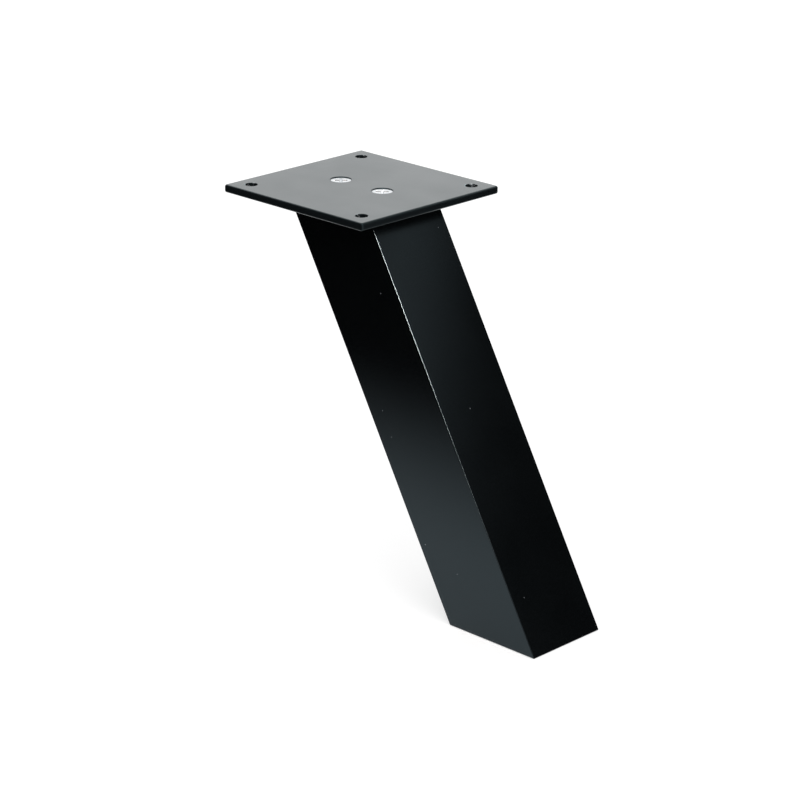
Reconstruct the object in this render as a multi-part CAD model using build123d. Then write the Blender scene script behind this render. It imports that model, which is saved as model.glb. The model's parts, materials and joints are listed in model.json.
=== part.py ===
from build123d import *
import os
from math import cos, radians, tan

# Bar top bracket: a square plate that carries a bar top, on a hollow square post that leans.
# Millimetres, +Z up. The origin is the centre of the post's foot, on the counter that it stands on.
# The post leans towards -X as it rises, and both halves about the XZ plane are the same.

# Plate
plate_side = 100.0
plate_thickness = 4.2
plate_corner_radius = 1.3
plate_edge_radius = 1.1
corner_hole_diameter = 6.5
corner_hole_inset = 10.0
corner_hole_rim_break = 0.25

# Post, with its side measured square to its own line and its lean measured from upright
post_side = 50.0
post_wall = 3.0
post_height = 206.4
post_lean = 30.0
post_edge_radius = 0.35
foot_edge_break = 0.3

# Anchor blocks inside the post's two ends
anchor_height = 10.0
anchor_edge_break = 0.5
foot_bolt_diameter = 8.0
foot_bolt_spacing = 25.0
thread_mouth_break = 0.4

# Countersunk screws that hold the plate to the upper anchor
screw_spacing = 30.0
screw_diameter = 6.0
screw_length = 12.0
screw_tip_chamfer = 0.8
head_diameter = 10.7
head_angle = 90.0
countersink_diameter = 11.6
recess_span = 6.6
recess_floor_span = 3.4
recess_width = 1.5
recess_floor_width = 1.0
recess_depth = 2.4
recess_turn = 45.0

# Clearances
anchor_gap = 0.05
thread_gap = 0.05
shank_gap = 0.3
head_seat_gap = 0.02
cutter_overrun = 1.0

# Places that follow from the sizes
lean = radians(post_lean)
post_line = Vector(-tan(lean), 0, 1)
plate_x = -post_height * tan(lean)
plate_top = post_height + plate_thickness
bore_side = post_side - 2 * post_wall
head_slope = tan(radians(head_angle / 2))
head_recess = ((countersink_diameter - head_diameter) / 2 - head_seat_gap) / head_slope
screw_places = [Pos(plate_x + side * screw_spacing / 2, 0, plate_top) for side in (-1, 1)]
foot_bolt_places = [Pos(side * foot_bolt_spacing / 2, 0, 0) for side in (-1, 1)]


def leaning_bar(side, low, high):
    """A square bar on the post's line, from one level to another, with level ends."""
    end = Pos(low * post_line.X, 0, low) * Rectangle(side / cos(lean), side)
    return extrude(end, amount=(high - low) / cos(lean), dir=post_line)


def drill(diameter, top, bottom):
    """An upright drill of one diameter between two levels."""
    return Pos(0, 0, bottom) * extrude(Circle(diameter / 2), amount=top - bottom)


def turned(*outline):
    """The solid that a closed outline of radius and level points makes, turned about the upright axis."""
    return revolve(Plane.XZ * make_face(Polyline(*outline, close=True)), axis=Axis.Z)


def cone_below(diameter):
    """The cone that a head of this diameter runs down to, with its rim at the local origin."""
    return turned((0, 0), (diameter / 2, 0), (0, -diameter / 2 / head_slope))


def rim_break(diameter, size):
    """A spindle that breaks a hole's rim at 45 degrees where it meets a level face at the local origin."""
    reach = diameter / 2 + size
    return turned((0, reach), (reach, 0), (0, -reach))


def make_top_plate():
    """Flat plate with softened edges, four corner holes and two countersunk screw holes."""
    outline = RectangleRounded(plate_side, plate_side, plate_corner_radius)
    blank = extrude(Pos(plate_x, 0, post_height) * outline, amount=plate_thickness)
    rims = blank.faces().filter_by(Axis.Z).edges()
    plate = fillet(rims, plate_edge_radius)
    hole_spacing = plate_side - 2 * corner_hole_inset
    corner_drill = drill(corner_hole_diameter, plate_top + cutter_overrun, post_height - cutter_overrun)
    corner_rim = rim_break(corner_hole_diameter, corner_hole_rim_break)
    for place in GridLocations(hole_spacing, hole_spacing, 2, 2):
        corner = Pos(plate_x, 0, 0) * place
        plate -= corner * corner_drill
        plate -= corner * Pos(0, 0, plate_top) * corner_rim
        plate -= corner * Pos(0, 0, post_height) * corner_rim
    shank_drill = drill(screw_diameter + 2 * shank_gap, cutter_overrun, -plate_thickness - cutter_overrun)
    for place in screw_places:
        plate -= place * cone_below(countersink_diameter)
        plate -= place * shank_drill
    return plate


def make_post():
    """Hollow square post with sharp long edges and both ends cut level."""
    bar = leaning_bar(post_side, 0, post_height)
    bar = fillet(bar.edges().filter_by(Axis((0, 0, 0), post_line)), post_edge_radius)
    bar = chamfer(bar.faces().sort_by(Axis.Z)[0].edges(), foot_edge_break)
    return bar - leaning_bar(bore_side, -cutter_overrun, post_height + cutter_overrun)


def make_anchor(low, mouth, places, hole_diameter):
    """Block that fills the post's bore at one end, with threaded holes that open at the mouth level."""
    block = leaning_bar(bore_side - 2 * anchor_gap, low, low + anchor_height)
    mouth_face = min(block.faces(), key=lambda face: abs(face.center().Z - mouth))
    block = chamfer(mouth_face.edges(), anchor_edge_break)
    bore_diameter = hole_diameter + 2 * thread_gap
    bore = drill(bore_diameter, low + anchor_height + cutter_overrun, low - cutter_overrun)
    bore_mouth = Pos(0, 0, mouth) * rim_break(bore_diameter, thread_mouth_break)
    for place in places:
        block -= Pos(place.position.X, 0, 0) * bore
        block -= Pos(place.position.X, 0, 0) * bore_mouth
    return block


def make_screw():
    """Countersunk screw with a cross recess, its head's rim at the local origin."""
    shank_radius = screw_diameter / 2
    neck = -(head_diameter / 2 - shank_radius) / head_slope
    screw = turned(
        (0, 0),
        (head_diameter / 2, 0),
        (shank_radius, neck),
        (shank_radius, screw_tip_chamfer - screw_length),
        (shank_radius - screw_tip_chamfer, -screw_length),
        (0, -screw_length),
    )
    wing = loft([
        Rectangle(recess_span, recess_width),
        Pos(0, 0, -recess_depth) * Rectangle(recess_floor_span, recess_floor_width),
    ])
    for turn in (recess_turn, recess_turn + 90):
        screw -= Rot(0, 0, turn) * wing
    return screw


top_plate = make_top_plate()
post = make_post()
foot_anchor = make_anchor(0, 0, foot_bolt_places, foot_bolt_diameter)
head_anchor = make_anchor(post_height - anchor_height, post_height, screw_places, screw_diameter)
screw = Pos(0, 0, -head_recess) * make_screw()
plate_screws = Compound([place * screw for place in screw_places])

nodes = {
    "top_plate": top_plate,
    "post": post,
    "head_anchor": head_anchor,
    "foot_anchor": foot_anchor,
    "plate_screws": plate_screws,
}
os.makedirs("parts", exist_ok=True)
for name, shape in nodes.items():
    export_step(shape, f"parts/{name}.step")
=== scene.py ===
import json
from math import atan2, cos, pi, radians, sin, tan

import bmesh
import bpy
from mathutils import Matrix, Vector


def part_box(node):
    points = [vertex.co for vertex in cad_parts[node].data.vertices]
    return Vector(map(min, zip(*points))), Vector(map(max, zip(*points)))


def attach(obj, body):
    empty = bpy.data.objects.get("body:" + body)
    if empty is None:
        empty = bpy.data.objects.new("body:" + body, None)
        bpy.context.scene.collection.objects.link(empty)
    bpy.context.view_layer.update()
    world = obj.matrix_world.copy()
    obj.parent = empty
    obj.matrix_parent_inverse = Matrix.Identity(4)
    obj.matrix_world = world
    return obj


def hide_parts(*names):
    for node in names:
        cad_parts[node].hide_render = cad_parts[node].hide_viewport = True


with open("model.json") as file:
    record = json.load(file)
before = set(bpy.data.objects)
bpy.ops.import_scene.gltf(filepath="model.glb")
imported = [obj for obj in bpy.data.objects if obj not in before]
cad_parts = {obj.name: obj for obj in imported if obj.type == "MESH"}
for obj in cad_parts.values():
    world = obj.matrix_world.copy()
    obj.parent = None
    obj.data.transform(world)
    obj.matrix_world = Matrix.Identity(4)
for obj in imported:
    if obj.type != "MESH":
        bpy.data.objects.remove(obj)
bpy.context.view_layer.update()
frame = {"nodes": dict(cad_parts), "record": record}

# Bar top bracket, in metres. The origin is the centre of the post's foot, and the post leans to -X.
MM = 0.001

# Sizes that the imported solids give
mounts = {mount["name"]: mount["dims"] for mount in frame["record"]["mounts"]}
plate_low, plate_high = (Vector(corner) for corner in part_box("top_plate"))
post_low, post_high = (Vector(corner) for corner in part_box("post"))
screws_low, screws_high = (Vector(corner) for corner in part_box("plate_screws"))
anchor_low, anchor_high = (Vector(corner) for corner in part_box("foot_anchor"))
plate_centre = (plate_low + plate_high) / 2
plate_side = plate_high.y - plate_low.y
post_side = post_high.y - post_low.y
lean = atan2(-plate_centre.x, post_high.z)
corner_hole_radius = mounts["bar_top_holes"]["hole_r_mm"] * MM
corner_hole_reach = mounts["bar_top_holes"]["spacing_x_mm"] * MM / 2
foot_bolt_radius = mounts["foot_bolts"]["hole_r_mm"] * MM
foot_bolt_spacing = mounts["foot_bolts"]["spacing_x_mm"] * MM
head_diameter = screws_high.y - screws_low.y
screw_spacing = screws_high.x - screws_low.x - head_diameter
screw_length = screws_high.z - screws_low.z

# Small sizes of the solids, which their boxes don't give
plate_corner_radius = 1.3 * MM
plate_edge_radius = 1.1 * MM
corner_hole_rim = 0.25 * MM
countersink_radius = 5.8 * MM
shank_hole_radius = 3.3 * MM
post_edge_radius = 0.35 * MM
bore_corner_radius = 0.1 * MM
foot_edge_break = 0.3 * MM
anchor_gap = 0.05 * MM
bore_side = anchor_high.y - anchor_low.y + 2 * anchor_gap

# Screws
shank_radius = 3.0 * MM
shank_pitch = 1.0 * MM
shank_thread_depth = 0.55 * MM
screw_tip_chamfer = 0.8 * MM
head_rim_radius = 0.16 * MM
recess_span = 6.6 * MM
recess_floor_span = 3.4 * MM
recess_width = 1.5 * MM
recess_floor_width = 1.0 * MM
recess_depth = 2.4 * MM
recess_lip = 0.14 * MM
recess_lip_bulge = 0.3
recess_turn = radians(45)
screw_count = 2

# The shank's thread: how steep its grooves are, and the share of its length that each end runs out over
groove_steepness = 2.3
thread_run_out = 0.25

# Threads in the foot
foot_thread_pitch = 1.25 * MM
foot_thread_ridge = 0.42 * MM
foot_thread_mouth = 0.9 * MM
foot_bolt_count = 2
ridge_sides = 3

# How finely the round shapes are drawn
edge_steps = 6
rim_steps = 6
hole_steps = 64
thread_steps = 48
thread_rings_a_turn = 8
spiral_steps = 40
smooth_below = radians(35)


def linear(hex_colour):
    """An sRGB hex colour as the linear colour that a shader takes."""
    channels = [int(hex_colour[i:i + 2], 16) / 255 for i in (1, 3, 5)]
    return [c / 12.92 if c <= 0.04045 else ((c + 0.055) / 1.055) ** 2.4 for c in channels] + [1.0]


def add(tree, kind, inputs=None, **settings):
    """Adds a node with its settings. An input takes a value, or a link where it is given a socket."""
    node = tree.nodes.new(kind)
    for name, value in settings.items():
        setattr(node, name, value)
    for key, value in (inputs or {}).items():
        if isinstance(value, bpy.types.NodeSocket):
            tree.links.new(value, node.inputs[key])
        else:
            node.inputs[key].default_value = value
    return node


def new_material(name):
    """An empty node material."""
    material = bpy.data.materials.new(name)
    material.use_nodes = True
    material.node_tree.nodes.clear()
    return material, material.node_tree


def satin_black_anodised_aluminium():
    """Extruded tube, etched and dyed black: an even satin sheen, faint die lines, a few dust specks."""
    material, tree = new_material("satin_black_anodised_aluminium")
    # Die lines finer than 0.1 mm and an etched grain of 0.05 mm are too fine to show, so both are coarser
    die_line_spacing = 0.6 * MM
    die_line_stretch = 0.008
    grain_size = 0.4 * MM
    cloud_size = 35 * MM
    speck_spacing = 13 * MM
    speck_radius = 0.26 * MM
    speck_core = 0.6
    place = add(tree, "ShaderNodeTexCoord").outputs["Object"]
    along_post = add(tree, "ShaderNodeMapping", {"Vector": place, "Rotation": (0, lean, 0)})
    stretched = add(tree, "ShaderNodeMapping", {
        "Vector": along_post.outputs["Vector"], "Scale": (1, 1, die_line_stretch),
    })
    die_lines = add(tree, "ShaderNodeTexNoise", {
        "Vector": stretched.outputs["Vector"], "Scale": 1 / die_line_spacing, "Detail": 2,
    })
    grain = add(tree, "ShaderNodeTexNoise", {"Vector": place, "Scale": 1 / grain_size, "Detail": 3})
    clouds = add(tree, "ShaderNodeTexNoise", {"Vector": place, "Scale": 1 / cloud_size, "Detail": 4})
    roughness = add(tree, "ShaderNodeMapRange", {
        "Value": clouds.outputs["Fac"], "From Min": 0.3, "From Max": 0.7, "To Min": 0.2, "To Max": 0.23,
    })
    height = add(tree, "ShaderNodeMix", {
        "Factor": 0.35, "A": grain.outputs["Fac"], "B": die_lines.outputs["Fac"],
    })
    bump = add(tree, "ShaderNodeBump", {
        "Height": height.outputs["Result"], "Strength": 0.25, "Distance": 0.012 * MM,
    })
    specks = add(tree, "ShaderNodeTexVoronoi", {"Vector": place, "Scale": 1 / speck_spacing})
    speck_edge = speck_radius / speck_spacing
    dust = add(tree, "ShaderNodeMapRange", {
        "Value": specks.outputs["Distance"], "From Min": speck_edge, "From Max": speck_edge * speck_core,
    })
    colour = add(tree, "ShaderNodeMix", {
        "Factor": dust.outputs["Result"], "A": linear("#050607"), "B": linear("#93979a"),
    }, data_type="RGBA")
    shader = add(tree, "ShaderNodeBsdfPrincipled", {
        "Base Color": colour.outputs["Result"], "Roughness": roughness.outputs["Result"], "IOR": 1.45,
        "Specular Tint": linear("#c2e5f4"), "Normal": bump.outputs["Normal"],
    })
    add(tree, "ShaderNodeOutputMaterial", {"Surface": shader.outputs["BSDF"]})
    return material


def chips_at_corner_holes(tree, place):
    """1 on the chips round the corner holes, where drill and screws break the coat, and else 0."""
    chip_size = 1.6 * MM
    chip_reach = 0.35 * MM
    hole_place = (corner_hole_reach, corner_hole_reach, 0)
    from_centre = add(tree, "ShaderNodeVectorMath", {0: place, 1: plate_centre}, operation="SUBTRACT")
    one_quarter = add(tree, "ShaderNodeVectorMath", {0: from_centre.outputs["Vector"]}, operation="ABSOLUTE")
    from_hole = add(tree, "ShaderNodeVectorMath", {
        0: one_quarter.outputs["Vector"], 1: hole_place,
    }, operation="SUBTRACT")
    across = add(tree, "ShaderNodeVectorMath", {
        0: from_hole.outputs["Vector"], 1: (1, 1, 0),
    }, operation="MULTIPLY")
    reach = add(tree, "ShaderNodeVectorMath", {0: across.outputs["Vector"]}, operation="LENGTH")
    at_rim = add(tree, "ShaderNodeMapRange", {
        "Value": reach.outputs["Value"], "From Min": corner_hole_radius + chip_reach,
        "From Max": corner_hole_radius + corner_hole_rim,
    })
    rubbed = add(tree, "ShaderNodeTexNoise", {"Vector": place, "Scale": 1 / chip_size, "Detail": 2})
    chips = add(tree, "ShaderNodeMapRange", {
        "Value": rubbed.outputs["Fac"], "From Min": 0.55, "From Max": 0.6,
    })
    bare = add(tree, "ShaderNodeMath", {
        0: at_rim.outputs["Result"], 1: chips.outputs["Result"],
    }, operation="MULTIPLY")
    return bare.outputs["Value"]


def satin_black_powder_coat():
    """Sprayed and baked coat: satin black, a very low orange peel, bare chips at the corner holes."""
    material, tree = new_material("satin_black_powder_coat")
    # The pigment's grain is about 0.05 mm, too fine to show, so it is drawn coarser
    peel_size = 1.4 * MM
    grain_size = 0.35 * MM
    cloud_size = 28 * MM
    place = add(tree, "ShaderNodeTexCoord").outputs["Object"]
    peel = add(tree, "ShaderNodeTexNoise", {"Vector": place, "Scale": 1 / peel_size, "Detail": 1})
    grain = add(tree, "ShaderNodeTexNoise", {"Vector": place, "Scale": 1 / grain_size, "Detail": 2})
    clouds = add(tree, "ShaderNodeTexNoise", {"Vector": place, "Scale": 1 / cloud_size, "Detail": 4})
    roughness = add(tree, "ShaderNodeMapRange", {
        "Value": clouds.outputs["Fac"], "From Min": 0.3, "From Max": 0.7, "To Min": 0.28, "To Max": 0.32,
    })
    height = add(tree, "ShaderNodeMix", {"Factor": 0.3, "A": peel.outputs["Fac"], "B": grain.outputs["Fac"]})
    bump = add(tree, "ShaderNodeBump", {
        "Height": height.outputs["Result"], "Strength": 0.2, "Distance": 0.02 * MM,
    })
    bare = chips_at_corner_holes(tree, place)
    colour = add(tree, "ShaderNodeMix", {
        "Factor": bare, "A": linear("#101315"), "B": linear("#b8bbbd"),
    }, data_type="RGBA")
    shader = add(tree, "ShaderNodeBsdfPrincipled", {
        "Base Color": colour.outputs["Result"], "Metallic": bare,
        "Roughness": roughness.outputs["Result"], "IOR": 1.5, "Specular Tint": linear("#c6ecf4"),
        "Normal": bump.outputs["Normal"],
    })
    add(tree, "ShaderNodeOutputMaterial", {"Surface": shader.outputs["BSDF"]})
    return material


def mill_finish_aluminium():
    """Sawn and milled block: bright grey metal with the fine arcs that the cutter leaves."""
    material, tree = new_material("mill_finish_aluminium")
    place = add(tree, "ShaderNodeTexCoord").outputs["Object"]
    # Feed marks are about 0.1 mm apart, too fine to show, so they are drawn about 3 mm apart
    mark_spacing = 3.14 * MM
    # The length at which a wave texture of scale 1 repeats
    wave_length = 0.314
    cloud_size = 8 * MM
    marks = add(tree, "ShaderNodeTexWave", {
        "Vector": place, "Scale": wave_length / mark_spacing, "Distortion": 2.0, "Detail": 2,
        "Detail Scale": 2.0,
    }, wave_type="RINGS", rings_direction="Z")
    clouds = add(tree, "ShaderNodeTexNoise", {"Vector": place, "Scale": 1 / cloud_size, "Detail": 4})
    colour = add(tree, "ShaderNodeMix", {
        "Factor": clouds.outputs["Fac"], "A": linear("#b4b7b9"), "B": linear("#cdd0d2"),
    }, data_type="RGBA")
    roughness = add(tree, "ShaderNodeMapRange", {
        "Value": marks.outputs["Fac"], "To Min": 0.34, "To Max": 0.46,
    })
    bump = add(tree, "ShaderNodeBump", {
        "Height": marks.outputs["Fac"], "Strength": 0.3, "Distance": 0.02 * MM,
    })
    shader = add(tree, "ShaderNodeBsdfPrincipled", {
        "Base Color": colour.outputs["Result"], "Metallic": 1.0, "Roughness": roughness.outputs["Result"],
        "Normal": bump.outputs["Normal"],
    })
    add(tree, "ShaderNodeOutputMaterial", {"Surface": shader.outputs["BSDF"]})
    return material


def bright_zinc_plated_steel():
    """Cold-headed steel with clear zinc: bright and slightly blue, with small dimples and dull patches."""
    material, tree = new_material("bright_zinc_plated_steel")
    dimple_size = 1.1 * MM
    patch_size = 2.6 * MM
    place = add(tree, "ShaderNodeTexCoord").outputs["Object"]
    dimples = add(tree, "ShaderNodeTexNoise", {"Vector": place, "Scale": 1 / dimple_size, "Detail": 3})
    patches = add(tree, "ShaderNodeTexNoise", {"Vector": place, "Scale": 1 / patch_size, "Detail": 2})
    colour = add(tree, "ShaderNodeMix", {
        "Factor": patches.outputs["Fac"], "A": linear("#8f9396"), "B": linear("#bcc0c3"),
    }, data_type="RGBA")
    roughness = add(tree, "ShaderNodeMapRange", {
        "Value": patches.outputs["Fac"], "From Min": 0.3, "From Max": 0.7, "To Min": 0.14, "To Max": 0.2,
    })
    bump = add(tree, "ShaderNodeBump", {
        "Height": dimples.outputs["Fac"], "Strength": 0.5, "Distance": 0.05 * MM,
    })
    shader = add(tree, "ShaderNodeBsdfPrincipled", {
        "Base Color": colour.outputs["Result"], "Metallic": 1.0, "Roughness": roughness.outputs["Result"],
        "Normal": bump.outputs["Normal"],
    })
    add(tree, "ShaderNodeOutputMaterial", {"Surface": shader.outputs["BSDF"]})
    return material


def seen_directly(tree):
    """1 for rays from the camera, mirrors and glass, 0 for the light that falls on the object."""
    path = add(tree, "ShaderNodeLightPath")
    camera_or_gloss = add(tree, "ShaderNodeMath", {
        0: path.outputs["Is Camera Ray"], 1: path.outputs["Is Glossy Ray"],
    }, operation="MAXIMUM")
    any_of_three = add(tree, "ShaderNodeMath", {
        0: camera_or_gloss.outputs["Value"], 1: path.outputs["Is Transmission Ray"],
    }, operation="MAXIMUM")
    return any_of_three.outputs["Value"]


def white_floor(glow_strength):
    """White paper that glows a little to the camera, so that it reads white beside its shadow."""
    material, tree = new_material("white_paper_floor")
    paper = add(tree, "ShaderNodeBsdfDiffuse", {"Color": linear("#d0d0d0")})
    glow = add(tree, "ShaderNodeEmission", {"Color": linear("#ffffff"), "Strength": glow_strength})
    lit = add(tree, "ShaderNodeAddShader", {0: paper.outputs["BSDF"], 1: glow.outputs["Emission"]})
    front = add(tree, "ShaderNodeMixShader", {
        "Fac": seen_directly(tree), 1: paper.outputs["BSDF"], 2: lit.outputs["Shader"],
    })
    clear = add(tree, "ShaderNodeBsdfTransparent")
    under = add(tree, "ShaderNodeNewGeometry").outputs["Backfacing"]
    sheet = add(tree, "ShaderNodeMixShader", {
        "Fac": under, 1: front.outputs["Shader"], 2: clear.outputs["BSDF"],
    })
    add(tree, "ShaderNodeOutputMaterial", {"Surface": sheet.outputs["Shader"]})
    return material


def black_card(feather):
    """Matt black card that fades out towards its lower and upper edges, over a share of its height."""
    material, tree = new_material("matt_black_card")
    place = add(tree, "ShaderNodeTexCoord").outputs["Generated"]
    level = add(tree, "ShaderNodeSeparateXYZ", {"Vector": place}).outputs["Y"]
    from_top = add(tree, "ShaderNodeMath", {0: 1.0, 1: level}, operation="SUBTRACT")
    from_edge = add(tree, "ShaderNodeMath", {0: level, 1: from_top.outputs["Value"]}, operation="MINIMUM")
    cover = add(tree, "ShaderNodeMapRange", {
        "Value": from_edge.outputs["Value"], "From Max": feather,
    }, interpolation_type="SMOOTHSTEP")
    card = add(tree, "ShaderNodeBsdfDiffuse", {"Color": linear("#050505")})
    clear = add(tree, "ShaderNodeBsdfTransparent")
    faded = add(tree, "ShaderNodeMixShader", {
        "Fac": cover.outputs["Result"], 1: clear.outputs["BSDF"], 2: card.outputs["BSDF"],
    })
    add(tree, "ShaderNodeOutputMaterial", {"Surface": faded.outputs["Shader"]})
    return material


def link(name, data):
    """A new object in the scene, made of a mesh, lamp or camera."""
    piece = bpy.data.objects.new(name, data)
    bpy.context.collection.objects.link(piece)
    return piece


def close_mesh(bm, name):
    """The finished mesh: faces outwards, smooth but for its sharp edges."""
    bmesh.ops.recalc_face_normals(bm, faces=bm.faces)
    mesh = bpy.data.meshes.new(name)
    bm.to_mesh(mesh)
    bm.free()
    mesh.shade_smooth()
    mesh.set_sharp_from_angle(angle=smooth_below)
    return mesh


def make_plain(piece):
    """Turns a piece with modifiers into a plain mesh."""
    evaluated = piece.evaluated_get(bpy.context.evaluated_depsgraph_get())
    mesh = bpy.data.meshes.new_from_object(evaluated)
    piece.modifiers.clear()
    piece.data = mesh
    mesh.name = piece.name
    return piece


def flat_faces_true(piece):
    """Keeps flat faces flat in shading right up to their rounded edges."""
    piece.modifiers.new("flat_faces_true", "WEIGHTED_NORMAL").keep_sharp = True
    return make_plain(piece)


def ring(bm, points):
    """A closed ring of vertices."""
    return [bm.verts.new(point) for point in points]


def skin(bm, rings):
    """Quads between each ring and the next."""
    for ring_a, ring_b in zip(rings, rings[1:]):
        for i, vertex in enumerate(ring_a):
            j = (i + 1) % len(ring_a)
            bm.faces.new((vertex, ring_a[j], ring_b[j], ring_b[i]))


def fill(bm, loops):
    """Fills the level face between an outer loop and the loops inside it."""
    edges = []
    for loop in loops:
        for i, vertex in enumerate(loop):
            ends = (vertex, loop[(i + 1) % len(loop)])
            edges.append(bm.edges.get(ends) or bm.edges.new(ends))
    bmesh.ops.triangle_fill(bm, use_beauty=True, edges=edges)


def rounded_square(side, radius):
    """Points round a square with rounded corners, about its centre."""
    reach = side / 2 - radius
    corners = [(reach, reach), (-reach, reach), (-reach, -reach), (reach, -reach)]
    points = []
    for quarter, (corner_x, corner_y) in enumerate(corners):
        for step in range(edge_steps + 1):
            angle = (quarter + step / edge_steps) * pi / 2
            points.append((corner_x + radius * cos(angle), corner_y + radius * sin(angle)))
    return points


def quarter_round():
    """The angles of a quarter turn, in the steps that draw a rounded edge."""
    return [pi / 2 * step / rim_steps for step in range(rim_steps + 1)]


def circle(centre_x, centre_y, radius, level, steps=hole_steps):
    """Points round a level circle."""
    turns = [2 * pi * i / steps for i in range(steps)]
    return [(centre_x + radius * cos(turn), centre_y + radius * sin(turn), level) for turn in turns]


def build_post(finish):
    """Hollow leaning post with rounded long edges and level ends."""
    def section(side, radius, level, inset=0.0):
        shift = level * tan(lean)
        points = rounded_square(side - 2 * inset, max(radius - inset, bore_corner_radius))
        return [(x / cos(lean) - shift, y, level) for x, y in points]

    top = post_high.z
    bm = bmesh.new()
    rings = [
        ring(bm, section(bore_side, bore_corner_radius, 0)),
        ring(bm, section(post_side, post_edge_radius, 0, foot_edge_break)),
        ring(bm, section(post_side, post_edge_radius, foot_edge_break)),
        ring(bm, section(post_side, post_edge_radius, top)),
        ring(bm, section(bore_side, bore_corner_radius, top)),
    ]
    skin(bm, rings + rings[:1])
    piece = flat_faces_true(link("leaning_post", close_mesh(bm, "leaning_post")))
    piece.data.materials.append(finish)
    return piece


def build_plate(finish):
    """Plate with rounded edges, four corner holes and two countersunk holes."""
    low, high = plate_low.z, plate_high.z
    bm = bmesh.new()
    angles = quarter_round()

    def outline(inset, level):
        points = rounded_square(plate_side - 2 * inset, plate_corner_radius - inset)
        return ring(bm, [(plate_centre.x + x, y, level) for x, y in points])

    edge = plate_edge_radius
    sides = [outline(edge - edge * sin(angle), low + edge - edge * cos(angle)) for angle in angles]
    sides += [outline(edge - edge * cos(angle), high - edge + edge * sin(angle)) for angle in angles]
    skin(bm, sides)
    bottom_loops = [sides[0]]
    top_loops = [sides[-1]]

    rim = corner_hole_rim
    wide = corner_hole_radius + rim
    for side_x in (-1, 1):
        for side_y in (-1, 1):
            x = plate_centre.x + side_x * corner_hole_reach
            y = side_y * corner_hole_reach
            lower = [circle(x, y, wide - rim * sin(angle), low + rim - rim * cos(angle)) for angle in angles]
            upper = [circle(x, y, wide - rim * cos(angle), high - rim + rim * sin(angle)) for angle in angles]
            walls = [ring(bm, points) for points in lower + upper]
            skin(bm, walls)
            bottom_loops.append(walls[0])
            top_loops.append(walls[-1])

    cone_depth = countersink_radius - shank_hole_radius
    for side_x in (-1, 1):
        x = plate_centre.x + side_x * screw_spacing / 2
        walls = [
            ring(bm, circle(x, 0, shank_hole_radius, low)),
            ring(bm, circle(x, 0, shank_hole_radius, high - cone_depth)),
            ring(bm, circle(x, 0, countersink_radius, high)),
        ]
        skin(bm, walls)
        bottom_loops.append(walls[0])
        top_loops.append(walls[-1])

    fill(bm, bottom_loops)
    fill(bm, top_loops)
    piece = flat_faces_true(link("bar_top_plate", close_mesh(bm, "bar_top_plate")))
    piece.data.materials.append(finish)
    return piece


def cross(span, width, level):
    """Points round a cross of two bars."""
    reach = span / 2
    half_width = width / 2
    arm = [(reach, -half_width), (reach, half_width), (half_width, half_width)]
    points = []
    for quarter_turns in range(4):
        turn = Matrix.Rotation(quarter_turns * pi / 2, 3, "Z")
        points += [turn @ Vector((x, y, level)) for x, y in arm]
    return points


def build_screw():
    """One countersunk cross-recess screw with a rolled thread, its head's rim at the origin."""
    head_radius = head_diameter / 2
    bm = bmesh.new()
    lip = recess_lip
    bulge = recess_lip_bulge * recess_lip
    recess = [
        ring(bm, cross(recess_span + 2 * lip, recess_width + 2 * lip, 0)),
        ring(bm, cross(recess_span + 2 * bulge, recess_width + 2 * bulge, -bulge)),
        ring(bm, cross(recess_span, recess_width, -lip)),
        ring(bm, cross(recess_floor_span, recess_floor_width, -recess_depth)),
    ]
    skin(bm, recess)
    bm.faces.new(recess[-1])

    rim = head_rim_radius
    outside = [
        circle(0, 0, head_radius - rim + rim * sin(angle), rim * cos(angle) - rim, thread_steps)
        for angle in quarter_round()
    ]
    neck = -(head_radius - shank_radius)
    outside.append(circle(0, 0, shank_radius, neck, thread_steps))
    body_end = screw_tip_chamfer - screw_length
    turns = (neck - body_end) / shank_pitch
    ring_count = int(turns * thread_rings_a_turn)
    for i in range(1, ring_count):
        share = i / ring_count
        level = neck + (body_end - neck) * i / ring_count
        fade = min(1.0, share / thread_run_out, (1 - share) / thread_run_out)
        points = []
        for k in range(thread_steps):
            turn = 2 * pi * k / thread_steps
            phase = (level / shank_pitch - k / thread_steps) % 1.0
            groove = max(0.0, 1.0 - groove_steepness * abs(phase - 0.5))
            radius = shank_radius - shank_thread_depth * fade * groove
            points.append((radius * cos(turn), radius * sin(turn), level))
        outside.append(points)
    outside.append(circle(0, 0, shank_radius, body_end, thread_steps))
    outside.append(circle(0, 0, shank_radius - screw_tip_chamfer, -screw_length, thread_steps))
    rings = [ring(bm, points) for points in outside]
    skin(bm, rings)
    bm.faces.new(rings[-1])
    fill(bm, [rings[0], recess[0]])
    return close_mesh(bm, "countersunk_screw")


def new_tree(name, inputs):
    """An empty Geometry Nodes tree with named inputs, and the identifier of each."""
    tree = bpy.data.node_groups.new(name, "GeometryNodeTree")
    identifiers = {}
    for label, kind in inputs.items():
        identifiers[label] = tree.interface.new_socket(label, in_out="INPUT", socket_type=kind).identifier
    tree.interface.new_socket("Geometry", in_out="OUTPUT", socket_type="NodeSocketGeometry")
    return tree, identifiers


def grow(name, tree, identifiers, values):
    """The plain mesh piece that a Geometry Nodes tree makes from these values."""
    piece = link(name, bpy.data.meshes.new(name))
    modifier = piece.modifiers.new(name, "NODES")
    modifier.node_group = tree
    for label, value in values.items():
        modifier[identifiers[label]] = value
    return make_plain(piece)


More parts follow.
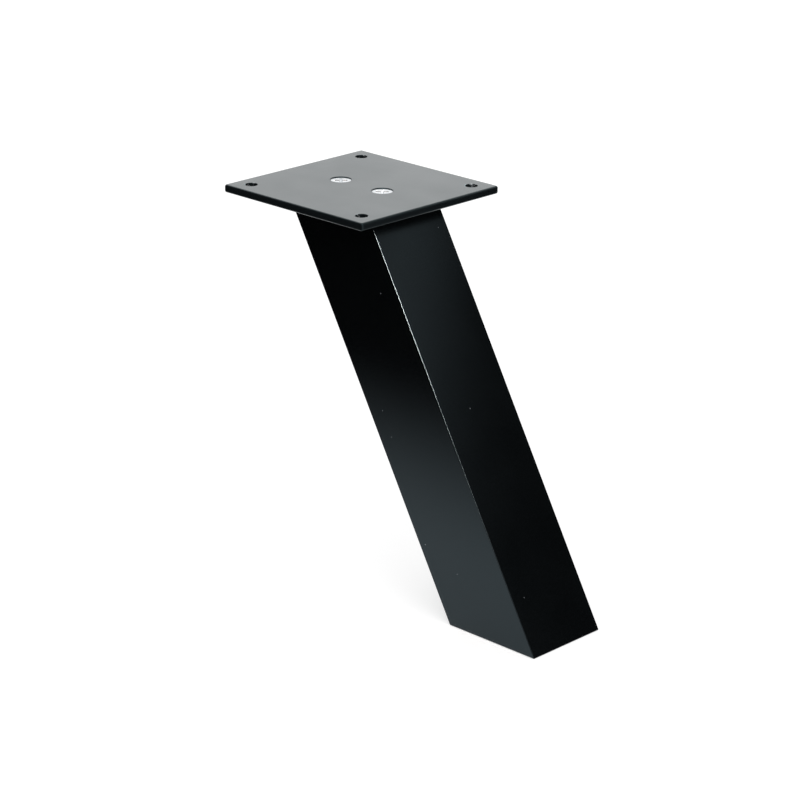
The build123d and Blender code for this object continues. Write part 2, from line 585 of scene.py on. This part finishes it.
def finish_tree(tree, instance, given, turn=None):
    """Ends a tree: copies of one shape at even spacing, made real, with their finish."""
    offset = add(tree, "ShaderNodeCombineXYZ", {"X": given["Spacing"]})
    places = add(tree, "GeometryNodeMeshLine", {
        "Count": given["Count"], "Start Location": given["First"], "Offset": offset.outputs["Vector"],
    })
    copies = add(tree, "GeometryNodeInstanceOnPoints", {
        "Points": places.outputs["Mesh"], "Instance": instance,
    })
    if turn is not None:
        tree.links.new(turn, copies.inputs["Rotation"])
    real = add(tree, "GeometryNodeRealizeInstances", {"Geometry": copies.outputs["Instances"]})
    dressed = add(tree, "GeometryNodeSetMaterial", {
        "Geometry": real.outputs["Geometry"], "Material": given["Finish"],
    })
    add(tree, "NodeGroupOutput", {"Geometry": dressed.outputs["Geometry"]})


def build_plate_screws(finish):
    """The row of screws in the plate."""
    tree, identifiers = new_tree("screw_row", {
        "Screw": "NodeSocketObject", "First": "NodeSocketVector", "Spacing": "NodeSocketFloat",
        "Count": "NodeSocketInt", "Turn": "NodeSocketFloat", "Finish": "NodeSocketMaterial",
    })
    given = add(tree, "NodeGroupInput").outputs
    shape = add(tree, "GeometryNodeObjectInfo", {"Object": given["Screw"]})
    turn = add(tree, "ShaderNodeCombineXYZ", {"Z": given["Turn"]})
    finish_tree(tree, shape.outputs["Geometry"], given, turn.outputs["Vector"])
    screw = link("countersunk_screw", build_screw())
    piece = grow("plate_screw_row", tree, identifiers, {
        "Screw": screw,
        "First": (plate_centre.x - screw_spacing / 2, 0.0, screws_high.z),
        "Spacing": screw_spacing,
        "Count": screw_count,
        "Turn": recess_turn,
        "Finish": finish,
    })
    bpy.data.objects.remove(screw)
    return flat_faces_true(piece)


def build_foot_threads(finish):
    """The ridges of the threads in the foot's two bolt holes."""
    tree, identifiers = new_tree("thread_row", {
        "First": "NodeSocketVector", "Spacing": "NodeSocketFloat", "Count": "NodeSocketInt",
        "Radius": "NodeSocketFloat", "Pitch": "NodeSocketFloat", "Length": "NodeSocketFloat",
        "Ridge": "NodeSocketFloat", "Finish": "NodeSocketMaterial",
    })
    given = add(tree, "NodeGroupInput").outputs
    turns = add(tree, "ShaderNodeMath", {0: given["Length"], 1: given["Pitch"]}, operation="DIVIDE")
    spiral = add(tree, "GeometryNodeCurveSpiral", {
        "Resolution": spiral_steps, "Rotations": turns.outputs["Value"], "Start Radius": given["Radius"],
        "End Radius": given["Radius"], "Height": given["Length"],
    })
    upright = add(tree, "GeometryNodeSetCurveNormal", {"Curve": spiral.outputs["Curve"]}, mode="Z_UP")
    ridge = add(tree, "GeometryNodeCurvePrimitiveCircle", {
        "Resolution": ridge_sides, "Radius": given["Ridge"],
    })
    swept = add(tree, "GeometryNodeCurveToMesh", {
        "Curve": upright.outputs["Curve"], "Profile Curve": ridge.outputs["Curve"], "Fill Caps": True,
    })
    finish_tree(tree, swept.outputs["Mesh"], given)
    return grow("foot_thread_row", tree, identifiers, {
        "First": (-foot_bolt_spacing / 2, 0.0, anchor_low.z + foot_thread_mouth),
        "Spacing": foot_bolt_spacing,
        "Count": foot_bolt_count,
        "Radius": foot_bolt_radius - foot_thread_ridge / 2,
        "Pitch": foot_thread_pitch,
        "Length": anchor_high.z - anchor_low.z - 2 * foot_thread_mouth,
        "Ridge": foot_thread_ridge,
        "Finish": finish,
    })


def facing(place, aim):
    """The matrix that stands a lamp or card at a place, looking at a point."""
    turn = (Vector(aim) - Vector(place)).to_track_quat("-Z", "Y")
    return Matrix.LocRotScale(Vector(place), turn, None)


def softbox(name, place, aim, width, height, power, colour="#ffffff", gloss_only=False, only=()):
    """A soft rectangular lamp out of the picture, which lights everything or only some pieces."""
    lamp = bpy.data.lights.new(name, "AREA")
    lamp.shape = "RECTANGLE"
    lamp.size = width
    lamp.size_y = height
    lamp.energy = power
    lamp.color = linear(colour)[:3]
    stand = link(name, lamp)
    stand.matrix_world = facing(place, aim)
    stand.visible_camera = False
    stand.visible_diffuse = not gloss_only
    if only:
        lit_pieces = bpy.data.collections.new("lit_by_" + name)
        for piece in only:
            lit_pieces.objects.link(piece)
        stand.light_linking.receiver_collection = lit_pieces


def level_sheet(name, width, depth, finish):
    """A flat rectangle of the studio, which isn't part of the object."""
    bm = bmesh.new()
    corners = [(-1, -1), (1, -1), (1, 1), (-1, 1)]
    bm.faces.new([bm.verts.new((x * width / 2, y * depth / 2, 0)) for x, y in corners])
    mesh = bpy.data.meshes.new(name)
    bm.to_mesh(mesh)
    bm.free()
    mesh.materials.append(finish)
    sheet = link(name, mesh)
    return sheet


def flag(name, place, aim, width, height, feather, roll=0.0):
    """A black card out of the picture with soft edges, which darkens only what the gloss mirrors."""
    card = level_sheet(name, width, height, black_card(feather / height))
    card.matrix_world = facing(place, aim) @ Matrix.Rotation(roll, 4, "Z")
    card.visible_camera = False
    card.visible_diffuse = False
    card.visible_shadow = False


# Finishes
post_finish = satin_black_anodised_aluminium()
plate_finish = satin_black_powder_coat()
anchor_finish = mill_finish_aluminium()
screw_finish = bright_zinc_plated_steel()

# Pieces
post = build_post(post_finish)
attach(post, "root")
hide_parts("post")

plate = build_plate(plate_finish)
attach(plate, "root")
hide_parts("top_plate")

plate_screws = build_plate_screws(screw_finish)
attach(plate_screws, "root")
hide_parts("plate_screws")

foot_threads = build_foot_threads(anchor_finish)
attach(foot_threads, "root")

for node in ("head_anchor", "foot_anchor"):
    for material_slot in frame["nodes"][node].material_slots:
        material_slot.material = anchor_finish

# Studio
floor_glow = 0.53
floor_width = 12.0
floor_level = -0.2 * MM
world_light = 0.75

floor = level_sheet("floor", floor_width, floor_width, white_floor(floor_glow))
floor.location.z = floor_level

world = bpy.data.worlds.new("white_studio")
world.use_nodes = True
sky = world.node_tree
sky.nodes.clear()
white = linear("#ffffff")
fill_light = add(sky, "ShaderNodeBackground", {"Color": white, "Strength": world_light})
white_wall = add(sky, "ShaderNodeBackground", {"Color": white, "Strength": 1.0})
surround = add(sky, "ShaderNodeMixShader", {
    "Fac": seen_directly(sky), 1: fill_light.outputs["Background"], 2: white_wall.outputs["Background"],
})
add(sky, "ShaderNodeOutputWorld", {"Surface": surround.outputs["Shader"]})
bpy.context.scene.world = world

# The edge lamp lights only the post and the screws, so that it leaves no glare on the plate
softbox(
    "edge_softbox", place=(0.364, -0.206, 0.459), aim=(-0.085, -0.025, 0.2), width=0.22, height=0.1,
    power=20.5, colour="#ffe2d3", gloss_only=True, only=(post, plate_screws),
)
softbox("top_softbox", place=(0.35, -0.45, 1.1), aim=(-0.1, 0, 0.15), width=1.0, height=1.0, power=4.5)
softbox("back_softbox", place=(-1.35, 1.25, 0.85), aim=(-0.12, 0, 0.2), width=1.6, height=1.2, power=4.2)

# Black cards, for the dark parts of what the post's faces and the plate's sides mirror
flag(
    "right_low_flag", place=(0.18, 0.2, 0.108), aim=(0.18, 0, 0.108), width=0.5, height=0.37,
    feather=0.09, roll=radians(25),
)
flag(
    "right_high_flag", place=(0.27, 0.2, 0.472), aim=(0.27, 0, 0.472), width=0.5, height=0.44,
    feather=0.1, roll=radians(20),
)
flag(
    "front_flag", place=(0.134, -0.246, 0.1), aim=(-0.069, -0.05, 0.1), width=0.6, height=0.2,
    feather=0.05,
)
flag("left_flag", place=(-0.265, -0.08, 0.2), aim=(-0.265, 0, 0.2), width=0.47, height=0.4, feather=0.11)

# Camera, as in the photo: where it looks from, the point in the middle of the picture and the lens
camera_azimuth = radians(43.973)
camera_elevation = radians(19.967)
camera_roll = radians(0.58)
camera_distance = 1.485
camera_target = Vector((-0.11570, 0.02655, 0.08713))
picture_side = 800
focal_length_pixels = 2775.29
sensor_width = 36.0

back = Vector((
    sin(camera_azimuth) * cos(camera_elevation),
    -cos(camera_azimuth) * cos(camera_elevation),
    sin(camera_elevation),
))
level_right = Vector((cos(camera_azimuth), sin(camera_azimuth), 0))
level_up = back.cross(level_right)
right = level_right * cos(camera_roll) + level_up * sin(camera_roll)
up = back.cross(right)
camera_data = bpy.data.cameras.new("camera")
camera_data.sensor_width = sensor_width
camera_data.lens = focal_length_pixels / picture_side * sensor_width
camera = link("camera", camera_data)
axes = Matrix((right, up, back)).transposed().to_4x4()
camera.matrix_world = Matrix.Translation(camera_target + camera_distance * back) @ axes
bpy.context.scene.camera = camera
bpy.context.scene.view_settings.view_transform = "Standard"
